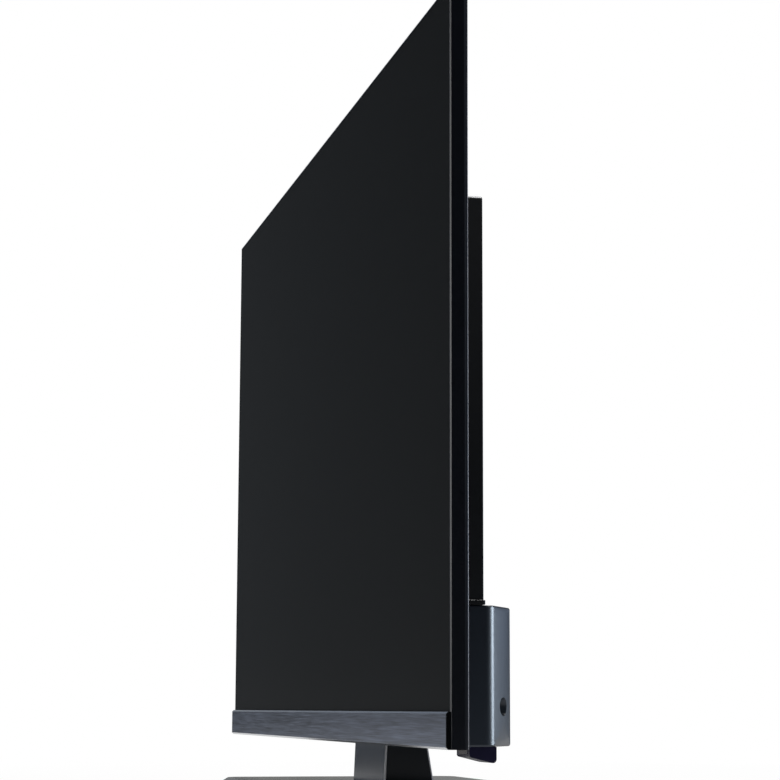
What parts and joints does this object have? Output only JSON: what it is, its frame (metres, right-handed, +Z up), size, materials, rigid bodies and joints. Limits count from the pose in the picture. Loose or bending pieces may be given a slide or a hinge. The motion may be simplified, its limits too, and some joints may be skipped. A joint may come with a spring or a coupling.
{
  "type": "flat screen television",
  "caption": "Flat screen television with a thin-edged panel, brushed bottom strip, stepped rear cover, under-edge control pod and a central neck on a flat base.",
  "frame": {"origin": "on the table, under the middle of the stand's base", "axes": "+X to the viewer's right along the screen, +Y from the screen to the back, +Z up"},
  "size_m": [0.962, 0.256, 0.6195],
  "materials": {
    "screen": "matt anti-glare screen, off",
    "optical_film": "translucent white film",
    "acrylic": "clear acrylic",
    "board_green": "solder mask",
    "board_tan": "paper board",
    "board_white": "white solder mask",
    "flex_film": "polyimide film",
    "heatsink_alloy": "extruded, matt",
    "frame_plastic": "moulded",
    "zinc_steel": "galvanised sheet",
    "trim_black": "black anodised, satin",
    "brushed_strip": "dark brushed, horizontal grain",
    "gloss_black": "gloss black",
    "rear_plastic": "fine textured black",
    "box_plastic": "fine textured slate black",
    "pod_plastic": "fine textured slate black",
    "screw_black": "black oxide",
    "zinc_screw": "zinc plated",
    "component_black": "epoxy and sleeve",
    "component_brown": "tape, sleeve and ferrite",
    "socket_steel": "tinned shell",
    "socket_brass": "nickelled thread",
    "socket_plastic": "black moulded",
    "speaker_plastic": "moulded",
    "speaker_cone": "paper cone and rubber surround",
    "ribbon": "white flat cable",
    "lead_red": "insulated wire",
    "lead_black": "insulated wire",
    "stand_steel": "powder coated steel",
    "neck_alloy": "dark satin with polished chamfers",
    "base_plastic": "dark satin",
    "pad_rubber": "soft rubber",
    "sensor_acrylic": "dark red acrylic",
    "key_plastic": "moulded key"
  },
  "bodies": {
    "set": {"lcd_panel": "screen", "driver_films": "flex_film", "driver_boards": "board_green", "polarizing_film": "optical_film", "prism_sheet": "optical_film", "diffuser_sheet": "optical_film", "light_guide": "acrylic", "reflector_sheet": "optical_film", "led_bar": "board_white", "led_heatsink": "heatsink_alloy", "mid_frame": "frame_plastic", "back_plate": "zinc_steel", "trim_left": "trim_black", "trim_right": "trim_black", "trim_top": "trim_black", "bottom_strip": "brushed_strip", "strip_carrier": "gloss_black", "rear_cover": "rear_plastic", "rear_cover_screws": "screw_black", "lower_cover": "box_plastic", "lower_cover_screws": "screw_black", "cover_posts": "zinc_screw", "vesa_posts": "zinc_screw", "main_board": "board_green", "main_chips": "component_black", "main_heatsink": "heatsink_alloy", "power_board": "board_tan", "power_parts": "component_brown", "timing_board": "board_green", "board_posts": "zinc_screw", "board_screws": "zinc_screw", "socket_plate": "socket_steel", "hdmi_sockets": "socket_steel", "usb_sockets": "socket_steel", "network_socket": "socket_steel", "aerial_socket": "socket_brass", "optical_socket": "socket_plastic", "headphone_socket": "socket_plastic", "mains_inlet": "socket_plastic", "wireless_module": "board_green", "speaker_left": "speaker_plastic", "speaker_right": "speaker_plastic", "speaker_drivers": "speaker_cone", "panel_ribbons": "ribbon", "speaker_leads": "lead_red", "mains_lead": "lead_black", "stand_bracket": "stand_steel", "bracket_screws": "zinc_screw", "stand_post": "stand_steel", "neck_screws": "screw_black", "stand_neck": "neck_alloy", "base_cover": "base_plastic", "base_plate": "stand_steel", "base_screws": "zinc_screw", "base_pads": "pad_rubber", "control_pod": "pod_plastic", "sensor_window": "sensor_acrylic", "sensor_board": "board_green"},
    "key": {"power_key": "key_plastic"}
  },
  "joints": [
    {"name": "power_key_press", "type": "slide", "parent": "set", "child": "key", "axis": [0, 0, 1], "range_m": [0, 0.0008], "stiffness_N_per_m": 1500, "springref_m": -0.0004}
  ]
}
